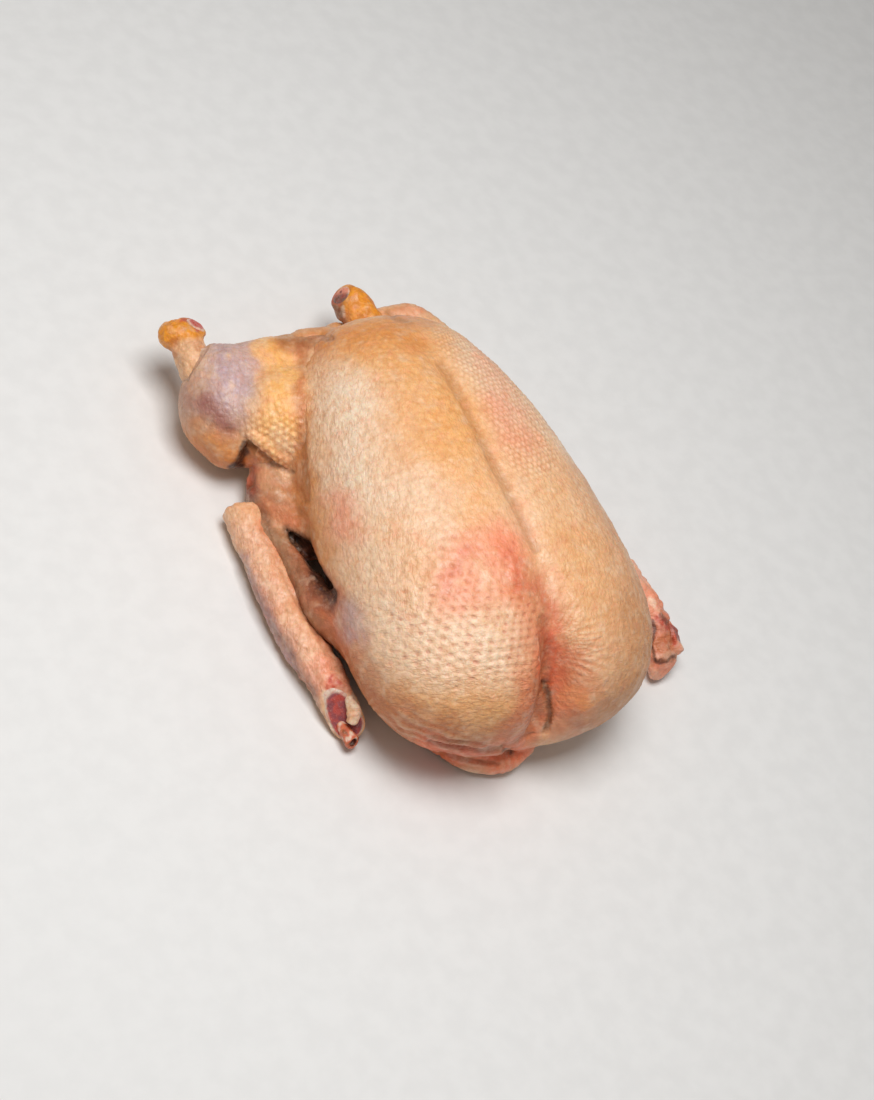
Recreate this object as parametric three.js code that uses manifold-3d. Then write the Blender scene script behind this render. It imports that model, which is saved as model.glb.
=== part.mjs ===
// A whole dressed goose, raw, lying on its back with the breast up.
// Millimetres. +Z is up, +Y points to the tail, and +X is the bird's right.
// The origin is on the flat of the back, on the line of the keel.
import * as THREE from "three";
import { mergeVertices } from "three/addons/utils/BufferGeometryUtils.js";
import Module from "manifold-3d";

// Trunk: half length, half width, height of the keel, and height of its widest line.
const HALF_LENGTH = 168;
const HALF_WIDTH = 104.5;
const KEEL_HEIGHT = 141;
const WIDEST_HEIGHT = 60;
// The trunk narrows and drops towards the tail by these shares of its size.
const WIDTH_TAPER = 0.23;
const WIDTH_FLARE = 0.06;
const KEEL_TAPER = 0.02;
const KEEL_ROUNDING = 0.08;
// The back is narrower than the breast by this share, more so towards the tail, and lies flat by this much.
const BACK_NARROWING = { least: 0.02, most: 0.14, from: -110, to: 40 };
const BACK_FLATTENED = 6;
// Roundness of the outline from above and of the cross section: 2 is an ellipse, more is squarer.
const OUTLINE_POWER = 2.95;
const SECTION_POWER = 2.3;
// The bird's right side is slimmer by this much near its thigh.
const RIGHT_SLIMMING = { most: 5, y: 105, length: 60, from: 0, to: 40 };

// Hollows along the middle of the breast: how deep, how wide, and where.
const KEEL_GROOVE = { depth: 3, halfWidth: 10, from: 140, to: 100 };
const WISHBONE_DIP = { depth: 3.5, halfWidth: 18, from: -55, to: -95 };
const WISHBONE_HOLLOW = { depth: 20, halfWidth: 16, y: -147, z: 91, length: 28, height: 32 };
const NECK_CLEFT = { depth: 7, halfWidth: 10, y: -167, z: 62, length: 22, height: 24 };
const HOLLOWS_FADE_BELOW = 25;

// A limb is a row of stations along its middle: [x, y, z, half width, half height].
// The left leg has fallen outwards, and the right one lies across the tail.
const LEFT_THIGH = [
  [-40, 98, 46, 40, 40],
  [-84, 112, 46, 38, 38],
  [-104, 118, 40, 27, 27],
];
const LEFT_THIGH_SKIN = [
  [-38, 132, 52, 36, 36],
  [-62, 151, 55, 23, 22],
  [-88, 152, 51, 19, 19],
];
const LEFT_FLANK = [
  [-70, 92, 30, 30, 28],
  [-96, 66, 21, 21, 20],
  [-88, 32, 24, 20, 21],
];
const LEFT_DRUMSTICK = [
  [-118, 112, 31, 22.5, 23],
  [-120, 129, 37, 30, 30],
  [-118, 143, 44, 28, 28],
  [-121, 156, 48, 19, 19],
];
const LEFT_CALF = [
  [-104, 149, 50, 21, 21],
  [-87, 150, 54, 19, 19],
];
const LEFT_SHANK = [
  [-129, 148, 45, 13, 13],
  [-132, 164, 47, 12, 12],
  [-132, 178, 48, 11.4, 11.4],
  [-132, 186, 49, 11, 11],
];
const LEFT_KNOB = [
  [-141, 189, 49, 9.8, 9.8],
  [-132, 190, 50, 10.4, 10.4],
  [-124, 192, 51, 9.4, 9.4],
];
// A fold of skin between the left leg and the tail.
const REAR_FOLD = [
  [-70, 156, 60, 10, 10],
  [-54, 161, 66, 10.5, 10.5],
  [-36, 160, 69, 10, 10],
];
const RIGHT_THIGH = [
  [40, 96, 46, 42, 42],
  [80, 110, 44, 32, 32],
];
const RIGHT_DRUMSTICK = [
  [88, 112, 42, 28, 28],
  [78, 158, 41, 19, 19],
  [62, 187, 46, 13, 13],
  [50, 192, 46, 10.5, 10.5],
  [36, 192, 44, 10, 10],
];
const RIGHT_SHANK = [
  [24, 176, 42, 14, 14],
  [20, 190, 44, 14, 14],
  [16, 204, 46.5, 13.5, 13.3],
  [11, 211, 48.5, 11.5, 11.5],
];
// Each wing is folded: the upper wing runs back from the shoulder, and the forearm runs forward again.
const LEFT_UPPER_WING = [
  [-80, -66, 44, 26, 24],
  [-104, -38, 36, 14, 16],
  [-108, -8, 29, 8.5, 12],
  [-111, 20, 24, 6.5, 10],
  [-117, 42, 18, 8, 9],
];
const LEFT_FOREARM = [
  [-123, 66, 14, 13.2, 13],
  [-122.8, 34, 14.5, 13.8, 13.5],
  [-122.7, -7, 15, 15.2, 14],
  [-121, -30, 15, 15, 14],
  [-118, -54, 15, 15.2, 13.8],
  [-113.6, -73, 14.5, 14.2, 13.5],
  [-111.5, -91, 14, 12.6, 12.6],
  [-109.5, -112, 13, 12, 12],
];
// The bone and a lobe of skin that stand out at the cut end of the left wing.
const WING_BONE = [
  [-112, -111, 9.5, 4, 4],
  [-111.5, -118, 10, 4.4, 4.4],
  [-110, -123.5, 9.5, 5.2, 5.2],
];
const WING_LOBE = [
  [-108.6, -101, 25, 3.2, 3.5],
  [-106.5, -107.5, 23.5, 4.6, 5],
  [-109, -113, 20.5, 3.8, 4],
];
const RIGHT_UPPER_WING = [
  [88, -58, 42, 22, 22],
  [112, -18, 31, 18, 18],
  [130, 23, 20, 15, 15],
];
const RIGHT_FOREARM = [
  [130, 28, 18, 14, 14],
  [145, -9, 20, 15, 15],
  [155, -58, 22, 15, 16],
  [160, -84, 19, 13, 14],
  [158, -104, 14, 11, 12],
];
// Lobes of flesh and skin at the cut end of the right wing.
const RIGHT_WING_LOBES = [
  [
    [160, -64, 29, 7, 7],
    [164, -72, 27, 7, 7],
  ],
  [
    [166, -82, 25, 8, 8],
    [168, -88, 22, 8, 8],
  ],
  [
    [172, -92, 22, 7, 7],
    [173, -99, 18, 7, 7],
  ],
  [
    [163, -108, 14, 9, 9],
    [156, -114, 12, 9, 9],
  ],
];
const NECK_SKIN = [
  [-46, -132, 15, 13, 13],
  [-28, -148, 12, 13, 12],
  [-6, -154, 11, 13, 11],
  [10, -150, 15, 12, 12],
];
const TAIL = [
  [2, 148, 34, 30, 22],
  [4, 178, 28, 23, 16],
  [5, 192, 27, 13, 11],
];

// Flat cuts where the feet and the wing tips were taken off, and the square end of the left elbow.
const LEFT_HOCK_CUT = { at: [-130, 188, 59.3], facing: [0.43, 0.27, 0.86] };
const RIGHT_HOCK_CUT = { at: [8.2, 216, 51], facing: [-0.767, 0.398, 0.473] };
const LEFT_WING_CUT = { at: [-113.8, -101.5, 16.6], facing: [-0.49, -0.53, 0.69] };
const LEFT_ELBOW_CUT = { at: [-123, 62, 14], facing: [0.137, 0.99, 0] };
const RIGHT_WING_CUT = { at: [158, -116, 15], facing: [0.1, -0.9, 0.4] };

// Fineness of the meshes.
const TRUNK_ROUND = 54;
const TRUNK_LONG = 36;
const LIMB_ROUND = 12;
const LIMB_CAP = 3;
const LIMB_LONG = 6;

// The trunk's skin is searched for along rays from its middle line, from outside inwards.
const MIDDLE_HALF_LENGTH = 66;
const MIDDLE_HEIGHT = 54;
const RAY_START = 180;
const RAY_STEP = 2;
const RAY_HALVINGS = 12;
const SLOPE_STEP = 1;
const LEAST_SLOPE = 0.002;

const CUTTER_SIZE = 60;
const GROUND_SIZE = 800;

const wasm = await Module();
wasm.setup();

function smoothStep(from, to, value) {
  const t = THREE.MathUtils.clamp((value - from) / (to - from), 0, 1);
  return t * t * (3 - 2 * t);
}

function bump(distance, halfWidth) {
  return Math.exp(-((distance / halfWidth) ** 2));
}

// Below zero inside the plain trunk and above zero outside it.
function trunkLevel(x, y, z) {
  const t = y / HALF_LENGTH;
  const { least, most, from, to } = BACK_NARROWING;
  const narrowing = least + (most - least) * smoothStep(from, to, y);
  const outline = HALF_WIDTH * (1 - WIDTH_TAPER * t + WIDTH_FLARE * t * t);
  const slimming = bump(y - RIGHT_SLIMMING.y, RIGHT_SLIMMING.length)
    * smoothStep(RIGHT_SLIMMING.from, RIGHT_SLIMMING.to, x);
  const width = outline * (1 - narrowing * smoothStep(WIDEST_HEIGHT, 0, z)) - RIGHT_SLIMMING.most * slimming;
  const top = KEEL_HEIGHT * (1 - KEEL_TAPER * t - KEEL_ROUNDING * t * t);
  const height = z > WIDEST_HEIGHT ? top - WIDEST_HEIGHT : WIDEST_HEIGHT + BACK_FLATTENED;
  const across = Math.abs(x / width) ** SECTION_POWER;
  const upright = Math.abs((z - WIDEST_HEIGHT) / height) ** SECTION_POWER;
  const section = (across + upright) ** (OUTLINE_POWER / SECTION_POWER);
  return (section + Math.abs(t) ** OUTLINE_POWER) ** (1 / OUTLINE_POWER) - 1;
}

// Depth of the hollows between the two halves of the breast.
function hollowDepth(x, y, z) {
  const groove = bump(x, KEEL_GROOVE.halfWidth) * smoothStep(KEEL_GROOVE.from, KEEL_GROOVE.to, y);
  const dip = bump(x, WISHBONE_DIP.halfWidth) * smoothStep(WISHBONE_DIP.from, WISHBONE_DIP.to, y);
  let depth = KEEL_GROOVE.depth * groove + WISHBONE_DIP.depth * dip;
  for (const hollow of [WISHBONE_HOLLOW, NECK_CLEFT]) {
    const place = bump(y - hollow.y, hollow.length) * bump(z - hollow.z, hollow.height);
    depth += hollow.depth * bump(x, hollow.halfWidth) * place;
  }
  return depth * smoothStep(HOLLOWS_FADE_BELOW, WIDEST_HEIGHT, z);
}

// Distance to the skin of the trunk, below zero inside it.
function trunkDistance(x, y, z) {
  const level = trunkLevel(x, y, z);
  const rise = Math.hypot(
    trunkLevel(x + SLOPE_STEP, y, z) - level,
    trunkLevel(x, y + SLOPE_STEP, z) - level,
    trunkLevel(x, y, z + SLOPE_STEP) - level,
  );
  return level / Math.max(rise / SLOPE_STEP, LEAST_SLOPE) + hollowDepth(x, y, z);
}

// How far the skin of the trunk is from a start point, along a unit direction.
function reachAlong(start, direction) {
  const distanceAt = (reach) => {
    const point = start.clone().addScaledVector(direction, reach);
    return trunkDistance(point.x, point.y, point.z);
  };
  let outside = RAY_START;
  while (outside > 0 && distanceAt(outside - RAY_STEP) > 0) {
    outside -= RAY_STEP;
  }
  let inside = outside - RAY_STEP;
  for (let i = 0; i < RAY_HALVINGS; i++) {
    const middle = (inside + outside) / 2;
    if (distanceAt(middle) > 0) {
      outside = middle;
    } else {
      inside = middle;
    }
  }
  return (inside + outside) / 2;
}

// A sphere whose vertices are pushed out from the trunk's middle line to its skin.
function trunkGeometry() {
  const geometry = new THREE.SphereGeometry(1, TRUNK_ROUND, TRUNK_LONG);
  const place = geometry.attributes.position;
  const direction = new THREE.Vector3();
  for (let i = 0; i < place.count; i++) {
    direction.fromBufferAttribute(place, i).normalize();
    const start = new THREE.Vector3(0, MIDDLE_HALF_LENGTH * direction.y, MIDDLE_HEIGHT);
    const skin = start.addScaledVector(direction, reachAlong(start, direction));
    place.setXYZ(i, skin.x, skin.y, skin.z);
  }
  return geometry;
}

// A capsule bent along a curve through the stations, with their half widths and half heights.
function limbGeometry(stations) {
  const curve = new THREE.CatmullRomCurve3(stations.map(([x, y, z]) => new THREE.Vector3(x, y, z)));
  const sizes = new THREE.CatmullRomCurve3(
    stations.map(([, , , width, height]) => new THREE.Vector3(width, height, 0)),
  );
  const geometry = new THREE.CapsuleGeometry(1, 1, LIMB_CAP, LIMB_ROUND, LIMB_LONG);
  const place = geometry.attributes.position;
  const up = new THREE.Vector3(0, 0, 1);
  for (let i = 0; i < place.count; i++) {
    const share = THREE.MathUtils.clamp(place.getY(i) + 0.5, 0, 1);
    const pastEnd = place.getY(i) + 0.5 - share;
    const size = sizes.getPoint(share);
    const ahead = curve.getTangent(share);
    const side = new THREE.Vector3().crossVectors(ahead, up).normalize();
    const upward = new THREE.Vector3().crossVectors(side, ahead);
    const point = curve
      .getPoint(share)
      .addScaledVector(side, place.getX(i) * size.x)
      .addScaledVector(upward, place.getZ(i) * size.y)
      .addScaledVector(ahead, (pastEnd * (size.x + size.y)) / 2);
    place.setXYZ(i, point.x, point.y, point.z);
  }
  return geometry;
}

// A box that takes away what lies past a flat cut.
function cutterGeometry({ at, facing }) {
  const normal = new THREE.Vector3(...facing).normalize();
  const turn = new THREE.Quaternion().setFromUnitVectors(new THREE.Vector3(0, 0, 1), normal);
  const middle = new THREE.Vector3(...at).addScaledVector(normal, CUTTER_SIZE / 2);
  return new THREE.BoxGeometry(CUTTER_SIZE, CUTTER_SIZE, CUTTER_SIZE)
    .applyQuaternion(turn)
    .translate(middle.x, middle.y, middle.z);
}

function groundGeometry() {
  return new THREE.BoxGeometry(GROUND_SIZE, GROUND_SIZE, GROUND_SIZE).translate(0, 0, -GROUND_SIZE / 2);
}

function solidFrom(geometry) {
  const bare = geometry.clone();
  bare.deleteAttribute("normal");
  bare.deleteAttribute("uv");
  const merged = mergeVertices(bare, 1e-4);
  return new wasm.Manifold(
    new wasm.Mesh({
      numProp: 3,
      vertProperties: merged.attributes.position.array,
      triVerts: new Uint32Array(merged.index.array),
    }),
  );
}

function geometryFrom(solid) {
  const mesh = solid.getMesh();
  const geometry = new THREE.BufferGeometry();
  geometry.setAttribute("position", new THREE.BufferAttribute(mesh.vertProperties, 3));
  geometry.setIndex(new THREE.BufferAttribute(mesh.triVerts, 1));
  geometry.computeVertexNormals();
  return geometry;
}

function limb(stations) {
  return solidFrom(limbGeometry(stations));
}

// Limbs joined to each other and then cut flat.
function cutLimbs(limbs, ...cuts) {
  const whole = limbs.map(limb).reduce((joined, piece) => joined.add(piece));
  return cuts.reduce((left, cut) => left.subtract(solidFrom(cutterGeometry(cut))), whole);
}

function gooseSolid() {
  const pieces = [
    limb(LEFT_THIGH),
    limb(LEFT_THIGH_SKIN),
    limb(LEFT_FLANK),
    limb(LEFT_DRUMSTICK),
    limb(LEFT_CALF),
    cutLimbs([LEFT_SHANK, LEFT_KNOB], LEFT_HOCK_CUT),
    limb(REAR_FOLD),
    limb(RIGHT_THIGH),
    limb(RIGHT_DRUMSTICK),
    cutLimbs([RIGHT_SHANK], RIGHT_HOCK_CUT),
    limb(LEFT_UPPER_WING),
    cutLimbs([LEFT_FOREARM], LEFT_WING_CUT, LEFT_ELBOW_CUT),
    limb(WING_LOBE),
    limb(WING_BONE),
    limb(RIGHT_UPPER_WING),
    cutLimbs([RIGHT_FOREARM, ...RIGHT_WING_LOBES], RIGHT_WING_CUT),
    limb(NECK_SKIN),
    limb(TAIL),
  ];
  const trunk = solidFrom(trunkGeometry());
  const whole = pieces.reduce((joined, piece) => joined.add(piece), trunk);
  return whole.subtract(solidFrom(groundGeometry()));
}

const skin = new THREE.MeshStandardMaterial({ color: 0xe3b48c, roughness: 0.5, metalness: 0 });

const goose = new THREE.Mesh(geometryFrom(gooseSolid()), skin);
goose.name = "goose";

const group = new THREE.Group();
group.add(goose);

export default group;
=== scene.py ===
import math

import bpy
import numpy as np
from mathutils import Matrix, Vector


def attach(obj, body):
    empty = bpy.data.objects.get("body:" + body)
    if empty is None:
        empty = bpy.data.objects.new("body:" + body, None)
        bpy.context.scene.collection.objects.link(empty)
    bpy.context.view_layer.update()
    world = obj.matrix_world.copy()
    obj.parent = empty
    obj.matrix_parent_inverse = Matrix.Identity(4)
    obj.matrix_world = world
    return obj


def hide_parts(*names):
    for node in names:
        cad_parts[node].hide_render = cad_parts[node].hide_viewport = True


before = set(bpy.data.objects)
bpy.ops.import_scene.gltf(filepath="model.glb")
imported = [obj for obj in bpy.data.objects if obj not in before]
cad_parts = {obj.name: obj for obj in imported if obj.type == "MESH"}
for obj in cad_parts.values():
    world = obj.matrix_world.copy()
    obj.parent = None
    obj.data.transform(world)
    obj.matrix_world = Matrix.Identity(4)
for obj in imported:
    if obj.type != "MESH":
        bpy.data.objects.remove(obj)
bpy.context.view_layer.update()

# A whole raw goose on its back. Sizes are in millimetres until a mesh is made, and then metres.
# +X is the bird's right, +Y its tail and +Z up. The trunk and the limbs repeat the frame's own sizes.
MM = 0.001

# ---- view

VIEW_AZIMUTH = math.radians(-53.0)
VIEW_ELEVATION = math.radians(47.3)
VIEW_ROLL = math.radians(36.4)
VIEW_DISTANCE = 1525.0
PIXELS_PER_MM = 1.441
PICTURE = (874, 1100)
AIM = np.array((0, 0, 67.7))
AIM_PIXEL = (453.3, 521.2)
SENSOR = 36.0


def view_axes():
    """The view's right, up and back directions."""
    flat = math.cos(VIEW_ELEVATION)
    back = np.array((math.sin(VIEW_AZIMUTH) * flat, -math.cos(VIEW_AZIMUTH) * flat, math.sin(VIEW_ELEVATION)))
    level = np.cross((0, 0, 1), back)
    level /= np.linalg.norm(level)
    rise = np.cross(back, level)
    right = math.sin(VIEW_ROLL) * rise + math.cos(VIEW_ROLL) * level
    up = math.cos(VIEW_ROLL) * rise - math.sin(VIEW_ROLL) * level
    return right, up, back


RIGHT, UP, BACK = view_axes()
VIEW_POINT = (
    AIM
    + VIEW_DISTANCE * BACK
    - (AIM_PIXEL[0] - PICTURE[0] / 2) / PIXELS_PER_MM * RIGHT
    + (AIM_PIXEL[1] - PICTURE[1] / 2) / PIXELS_PER_MM * UP
)


def in_picture(p):
    """Where points in millimetres show in the picture, in its pixels."""
    away = p - VIEW_POINT
    scale = PIXELS_PER_MM * VIEW_DISTANCE / -(away @ BACK)
    x = PICTURE[0] / 2 + scale * (away @ RIGHT)
    y = PICTURE[1] / 2 - scale * (away @ UP)
    return np.stack([x, y], axis=1)


# ---- trunk

HALF_LENGTH = 168.0
HALF_WIDTH = 104.5
KEEL_HEIGHT = 141.0
WIDEST_HEIGHT = 60.0
WIDTH_TAPER = 0.23
WIDTH_FLARE = 0.06
KEEL_TAPER = 0.02
KEEL_ROUNDING = 0.08
BACK_NARROWING = (0.02, 0.14)
BACK_NARROWS = (-110.0, 40.0)
BACK_FLATTENED = 6.0
OUTLINE_POWER = 2.95
SECTION_POWER = 2.3
# The right side is slimmer near the tail: by how much, where along y and over what length, and where along x
# that sets in.
RIGHT_SLIMMING = 5.0
SLIM_STRETCH = (105, 60)
SLIM_FROM = (0, 40)

# Hollows along the middle of the breast: depth and half width, and where along y they set in. The back has
# none, so they also set in with height.
KEEL_GROOVE = (3.0, 10.0)
GROOVE_FROM = (140, 100)
WISHBONE_DIP = (3.5, 18.0)
DIP_FROM = (-55, -95)
HOLLOWS_FROM = (25, 60)
MIDDLE_HOLLOWS = (
    # depth, half width, y, z, length, height
    (20.0, 16.0, -147.0, 91.0, 28.0, 32.0),
    (7.0, 10.0, -167.0, 62.0, 22.0, 24.0),
)

# ---- limbs

# Stations along each limb: x, y, z, half width and half height.
STATIONS = {
    "left_thigh": [(-40, 98, 46, 40, 40), (-84, 112, 46, 38, 38), (-104, 118, 40, 27, 27)],
    "left_thigh_skin": [(-38, 132, 52, 36, 36), (-62, 151, 55, 23, 22), (-88, 152, 51, 19, 19)],
    "left_flank": [(-70, 92, 30, 30, 28), (-96, 66, 21, 21, 20), (-88, 32, 24, 20, 21)],
    "left_drumstick": [
        (-118, 112, 31, 22.5, 23),
        (-120, 129, 37, 30, 30),
        (-118, 143, 44, 28, 28),
        (-121, 156, 48, 19, 19),
    ],
    "left_calf": [(-104, 149, 50, 21, 21), (-87, 150, 54, 19, 19)],
    "left_shank": [
        (-129, 148, 45, 13, 13),
        (-132, 164, 47, 12, 12),
        (-132, 178, 48, 11.4, 11.4),
        (-132, 186, 49, 11, 11),
    ],
    "left_knob": [(-141, 189, 49, 9.8, 9.8), (-132, 190, 50, 10.4, 10.4), (-124, 192, 51, 9.4, 9.4)],
    "rear_fold": [(-70, 156, 60, 10, 10), (-54, 161, 66, 10.5, 10.5), (-36, 160, 69, 10, 10)],
    "right_thigh": [(40, 96, 46, 42, 42), (80, 110, 44, 32, 32)],
    "right_drumstick": [
        (88, 112, 42, 28, 28),
        (78, 158, 41, 19, 19),
        (62, 187, 46, 13, 13),
        (50, 192, 46, 10.5, 10.5),
        (36, 192, 44, 10, 10),
    ],
    "right_shank": [
        (24, 176, 42, 14, 14),
        (20, 190, 44, 14, 14),
        (16, 204, 46.5, 13.5, 13.3),
        (11, 211, 48.5, 11.5, 11.5),
    ],
    "left_upper_wing": [
        (-80, -66, 44, 26, 24),
        (-104, -38, 36, 14, 16),
        (-108, -8, 29, 8.5, 12),
        (-111, 20, 24, 6.5, 10),
        (-117, 42, 18, 8, 9),
    ],
    "left_forearm": [
        (-123, 66, 14, 13.2, 13),
        (-122.8, 34, 14.5, 13.8, 13.5),
        (-122.7, -7, 15, 15.2, 14),
        (-121, -30, 15, 15, 14),
        (-118, -54, 15, 15.2, 13.8),
        (-113.6, -73, 14.5, 14.2, 13.5),
        (-111.5, -91, 14, 12.6, 12.6),
        (-109.5, -112, 13, 12, 12),
    ],
    "wing_lobe": [
        (-108.6, -101, 25, 3.2, 3.5),
        (-106.5, -107.5, 23.5, 4.6, 5),
        (-109, -113, 20.5, 3.8, 4),
    ],
    "wing_bone": [(-112, -111, 9.5, 4, 4), (-111.5, -118, 10, 4.4, 4.4), (-110, -123.5, 9.5, 5.2, 5.2)],
    "right_upper_wing": [(88, -58, 42, 22, 22), (112, -18, 31, 18, 18), (130, 23, 20, 15, 15)],
    "right_forearm": [
        (130, 28, 18, 14, 14),
        (145, -9, 20, 15, 15),
        (155, -58, 22, 15, 16),
        (160, -84, 19, 13, 14),
        (158, -104, 14, 11, 12),
    ],
    "neck_skin": [
        (-46, -132, 15, 13, 13),
        (-28, -148, 12, 13, 12),
        (-6, -154, 11, 13, 11),
        (10, -150, 15, 12, 12),
    ],
    "tail": [(2, 148, 34, 30, 22), (4, 178, 28, 23, 16), (5, 192, 27, 13, 11)],
    # The room that the left leg's own mesh takes, out to well inside the trunk.
    "leg_room": [(-48, 120, 48, 60, 60), (-112, 138, 48, 62, 62)],
}
# Lobes of flesh and skin at the cut end of the right wing.
RIGHT_WING_LOBES = (
    [(160, -64, 29, 7, 7), (164, -72, 27, 7, 7)],
    [(166, -82, 25, 8, 8), (168, -88, 22, 8, 8)],
    [(172, -92, 22, 7, 7), (173, -99, 18, 7, 7)],
    [(163, -108, 14, 9, 9), (156, -114, 12, 9, 9)],
)

# Flat cuts through the hocks and wings, and the square end of the elbow: a point and a direction.
LEFT_HOCK_CUT = ((-130, 188, 59.3), (0.43, 0.27, 0.86))
RIGHT_HOCK_CUT = ((8.2, 216, 51), (-0.767, 0.398, 0.473))
LEFT_WING_CUT = ((-113.8, -101.5, 16.6), (-0.49, -0.53, 0.69))
LEFT_ELBOW = ((-123, 62, 14), (0.137, 0.99, 0.0))
RIGHT_WING_CUT = ((158, -116, 15), (0.1, -0.9, 0.4))
WING_BONE_END = ((-109.6, -125.5, 10), (0.2, -0.9, 0.5))

# Gaps that the folded limbs leave: half width and half height, as for a limb.
LEFT_ARMPIT = [
    (-104, 31, 29, 1.4, 3),
    (-101.5, 20, 32, 2.4, 4),
    (-99.5, 6, 38, 3.4, 5),
    (-103, -15, 47, 4.5, 5),
    (-107, -30, 55, 3.2, 4),
    (-109, -40, 59.5, 1.6, 2.2),
]
ARMPIT_DEPTH = [(-98, 24, 28, 1.6, 5), (-93, 8, 32, 3, 8), (-94, -12, 40, 4.5, 9), (-100, -28, 48, 3, 7)]
LEFT_KNEE_PIT = [(-115, 95, 52, 2, 3), (-117, 90, 45, 3.5, 5), (-117, 84, 34, 6, 7), (-118, 80, 24, 8, 8)]

# ---- fineness

SKIN_STEP = 1.85
LIMB_STEP = 1.15
FLESH_STEP = 0.8
# How many fine steps make one step of the first, rough search.
COARSE = 4

# The lowest and highest corners of the space that a mesh is made in.
BOXES = {
    "goose_skin": ((-140, -182, -4), (150, 228, 150)),
    "left_leg": ((-160, 50, -4), (10, 205, 116)),
    "right_forearm": ((105, -135, -4), (196, 60, 48)),
    "left_hock": ((-162, 130, 20), (-104, 214, 76)),
    "right_hock": ((-6, 156, 22), (46, 232, 70)),
}
# Room left round a limb, how far from a cut its flesh is looked for, how deep that goes, and the bone's wall
# and hollow.
BOX_SPARE = 4
FLESH_REACH = 26
FLESH_DEPTH = 7
BONE_WALL = 2.0
BONE_HOLLOW = 3.0

# ---- follicles: spacing in millimetres

TRUNK_SPACING = 6.6
LEG_SPACING = 4.8
WING_SPACING = 4.2
PORE_RADIUS = 100.0
# How far the rows lean towards the tail on their way out from the keel.
ROW_LEAN = 0.3
# The rows bend within this far of the keel. Where the trunk is thinner than the least radius, follicles stay
# as far apart as there.
ROW_BEND = 15
LEAST_RADIUS = 35
PROFILE_POINTS = 801
# They stand wider apart than the spacing on the bird's left and closer on its right, with the change within
# this far of the keel, and fade out on the keel.
SIDE_CROWDING = (0.8, 1.3)
SIDES_MEET = (-12, 12)
BARE_KEEL = (2.0, 14.0)
# How far the places are pushed about: share, size in millimetres and the shift between the two directions.
RUFFLES = ((0.7, 60, 91), (0.35, 15, 55))
# The dome that the left leg's follicles lie on: its middle and radius.
LEG_DOME = ((-100, 128, 40), 42)
# Waves whose sum peaks at each point of a six-sided lattice with spacing 1.
FULL_TURN = 2 * math.pi
LATTICE_WAVES = np.array([(-1 / math.sqrt(3), 1), (2 / math.sqrt(3), 0), (1 / math.sqrt(3), 1)]) * FULL_TURN

# ---- colours, 0 to 255 on a screen

COLOURS = {
    "base": (240, 188, 142),
    "cream": (250, 224, 196),
    "fat": (242, 176, 104),
    "yellow": (255, 190, 108),
    "amber": (226, 142, 62),
    "tan": (206, 142, 90),
    "ochre": (190, 100, 34),
    "brown": (134, 80, 42),
    "blush": (246, 158, 124),
    "coral": (252, 130, 84),
    "scarlet": (240, 78, 44),
    "red": (206, 72, 48),
    "rust": (218, 114, 70),
    "lilac": (192, 162, 166),
    "mauve": (160, 102, 92),
    "purple": (146, 72, 78),
    "orange": (240, 152, 26),
    "deep": (46, 15, 8),
    "bone": (246, 222, 196),
    "pit": (206, 110, 78),
    "floor": (232, 231, 229),
    "floor_speck": (236, 235, 233),
}

# The keel's line, and lines that more than one list uses, in the picture's pixels.
KEEL_LINE = [(440, 362), (460, 395), (475, 425), (490, 455), (503, 480), (515, 505), (526, 528), (536, 550)]
THIGH_HEM = [(250, 444), (262, 454), (275, 465), (292, 472)]
FAR_WING_FOLD = [(661, 660), (671, 661), (680, 655)]
FAR_WING_EDGE = [(675, 636), (680, 648)]

# Colours laid on in order, on what faces the view: colour, strength, half width and line, in the picture's
# pixels. First soft patches and then smaller marks with firmer edges.
BETWEEN_PAINT = (
    ("yellow", 0.95, 19, [(272, 350), (281, 380), (284, 405), (282, 428)]),
    ("yellow", 0.6, 13, [(262, 414), (272, 432), (286, 448)]),
    # Painted shade along the breast's left edge.
    ("ochre", 0.7, 6, [(300, 344), (302, 380), (303, 420), (304, 470)]),
    # Painted shade in the crease above the left thigh.
    ("ochre", 0.65, 9, [(282, 346), (304, 339), (330, 336)]),
    ("ochre", 0.3, 14, [(255, 466), (268, 490), (290, 512)]),
    # Painted shade in the crease above the left thigh.
    ("brown", 0.5, 8, [(286, 342), (304, 338), (326, 334)]),
    ("rust", 0.6, 8, [(266, 502), (284, 514), (302, 526)]),
    # Painted shade on the flank's left side, below the knee pit.
    ("red", 0.8, 8, [(246, 462), (244, 474), (250, 492)]),
    ("cream", 0.5, 9, [(276, 432), (290, 446)]),
    ("brown", 0.35, 11, [(264, 482), (282, 500)]),
)
BETWEEN_MARKS = (
    # Painted shade in the knee pit.
    ("deep", 0.95, 4, [(245, 442), (243, 452), (239, 462), (236, 470)]),
    # Painted shadow under the thigh's hem.
    ("brown", 0.4, 2.5, [(252, 446), (264, 457), (276, 467), (290, 472)]),
)
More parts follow.
